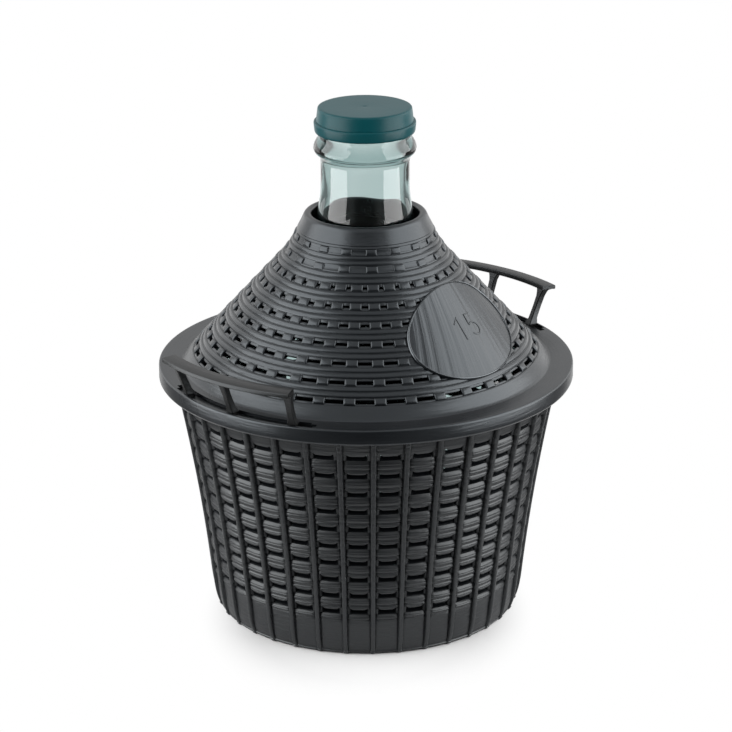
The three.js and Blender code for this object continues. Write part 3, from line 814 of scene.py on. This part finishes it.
def add_area(name, location, target, size_x, size_y, power):
    data = bpy.data.lights.new(name, "AREA")
    data.shape = "RECTANGLE"
    data.size = size_x
    data.size_y = size_y
    data.energy = power
    light = bpy.data.objects.new(name, data)
    light.location = location
    light.rotation_euler = (Vector(target) - Vector(location)).to_track_quat("-Z", "Y").to_euler()
    light.visible_camera = False
    light.visible_transmission = False
    scene.collection.objects.link(light)


# White behind for the camera and through the glass. The light itself is dim, and darkest toward dark_side.
def set_world(dark_side):
    world = bpy.data.worlds.new("studio")
    scene.world = world
    world.use_nodes = True
    tree = world.node_tree
    toward = add_node(tree, "TexCoord", {}).outputs["Generated"]
    split = add_node(tree, "SeparateXYZ", {"Vector": toward})
    height = split.outputs["Z"]
    ceiling = add_range(tree, height, (0.1, 0.75), (0.26, 0.85), "SMOOTHSTEP")
    low_side = (dark_side + Vector((0, 0, 0.1))).normalized()
    facing_low = add_node(tree, "VectorMath", {0: toward, 1: low_side}, "DOT_PRODUCT").outputs["Value"]
    shade = add_range(tree, facing_low, (0.8, 0.95), (1.0, 0.24), "SMOOTHSTEP")
    dim = add_math(tree, "MULTIPLY", ceiling, shade)

    # White backdrop behind the object, as rays through the glass see it with at most one other bounce
    bearing = add_node(tree, "VectorMath", {0: add_flat(tree, split)}, "NORMALIZE").outputs["Vector"]
    facing = add_node(tree, "VectorMath", {0: bearing, 1: dark_side}, "DOT_PRODUCT").outputs["Value"]
    backdrop = add_range(tree, facing, (-0.78, -0.93), (0.0, 1.0), "SMOOTHSTEP")
    path = add_node(tree, "LightPath", {})
    through = add_math(tree, "MULTIPLY", path.outputs["Is Transmission Ray"], backdrop)
    bounced = add_math(tree, "ADD", path.outputs["Diffuse Depth"], path.outputs["Glossy Depth"])
    passes = add_math(tree, "MULTIPLY_ADD", bounced, 10.0, path.outputs["Transmission Depth"])
    clear = add_math(tree, "MULTIPLY", through, add_math(tree, "LESS_THAN", passes, 12.5))

    # The same backdrop in glancing reflections from below the horizon
    below = add_math(tree, "LESS_THAN", height, 0.0)
    grazed = add_math(tree, "MULTIPLY", path.outputs["Is Glossy Ray"], below)
    mirrored = add_math(tree, "MULTIPLY", grazed, backdrop)
    behind = add_math(tree, "MAXIMUM", mirrored, clear)
    seen = add_math(tree, "MAXIMUM", path.outputs["Is Camera Ray"], behind)
    background = tree.nodes["Background"]
    background.inputs["Color"].default_value = (1, 1, 1, 1)
    tree.links.new(add_range(tree, seen, (0.0, 1.0), (dim, 1.0)), background.inputs["Strength"])


def add_camera():
    azimuth, pitch, roll = (math.radians(v) for v in (CAMERA_AZIMUTH, CAMERA_PITCH, CAMERA_ROLL))
    outward = Vector((math.cos(azimuth), math.sin(azimuth), 0))
    forward = -outward * math.cos(pitch) - Vector((0, 0, math.sin(pitch)))
    right = forward.cross(Vector((0, 0, 1))).normalized()
    up = right.cross(forward)
    camera_right = right * math.cos(roll) - up * math.sin(roll)
    camera_up = right * math.sin(roll) + up * math.cos(roll)
    data = bpy.data.cameras.new("photo_camera")
    data.sensor_width = SENSOR_WIDTH
    data.lens = SENSOR_WIDTH * FOCAL_PIXELS / IMAGE_PIXELS
    data.clip_end = 50.0
    camera = bpy.data.objects.new("photo_camera", data)
    place = (outward * CAMERA_DISTANCE + Vector((0, 0, CAMERA_HEIGHT))) * MM
    axes = Matrix((camera_right, camera_up, -forward)).transposed()
    camera.matrix_world = Matrix.Translation(place) @ axes.to_4x4()
    scene.collection.objects.link(camera)
    scene.camera = camera
    return right, forward


right, forward = add_camera()
level = Vector((forward.x, forward.y, 0)).normalized()
add_floor(-level)
set_world(-level)
for name, bearing, distance, height, aim_height, width, tallness, power in LAMPS:
    away = right * math.sin(math.radians(bearing)) - level * math.cos(math.radians(bearing))
    place = away * distance + Vector((0, 0, height))
    add_area(name, place, Vector((0, 0, aim_height)), width, tallness, power)
scene.view_settings.view_transform = "Standard"
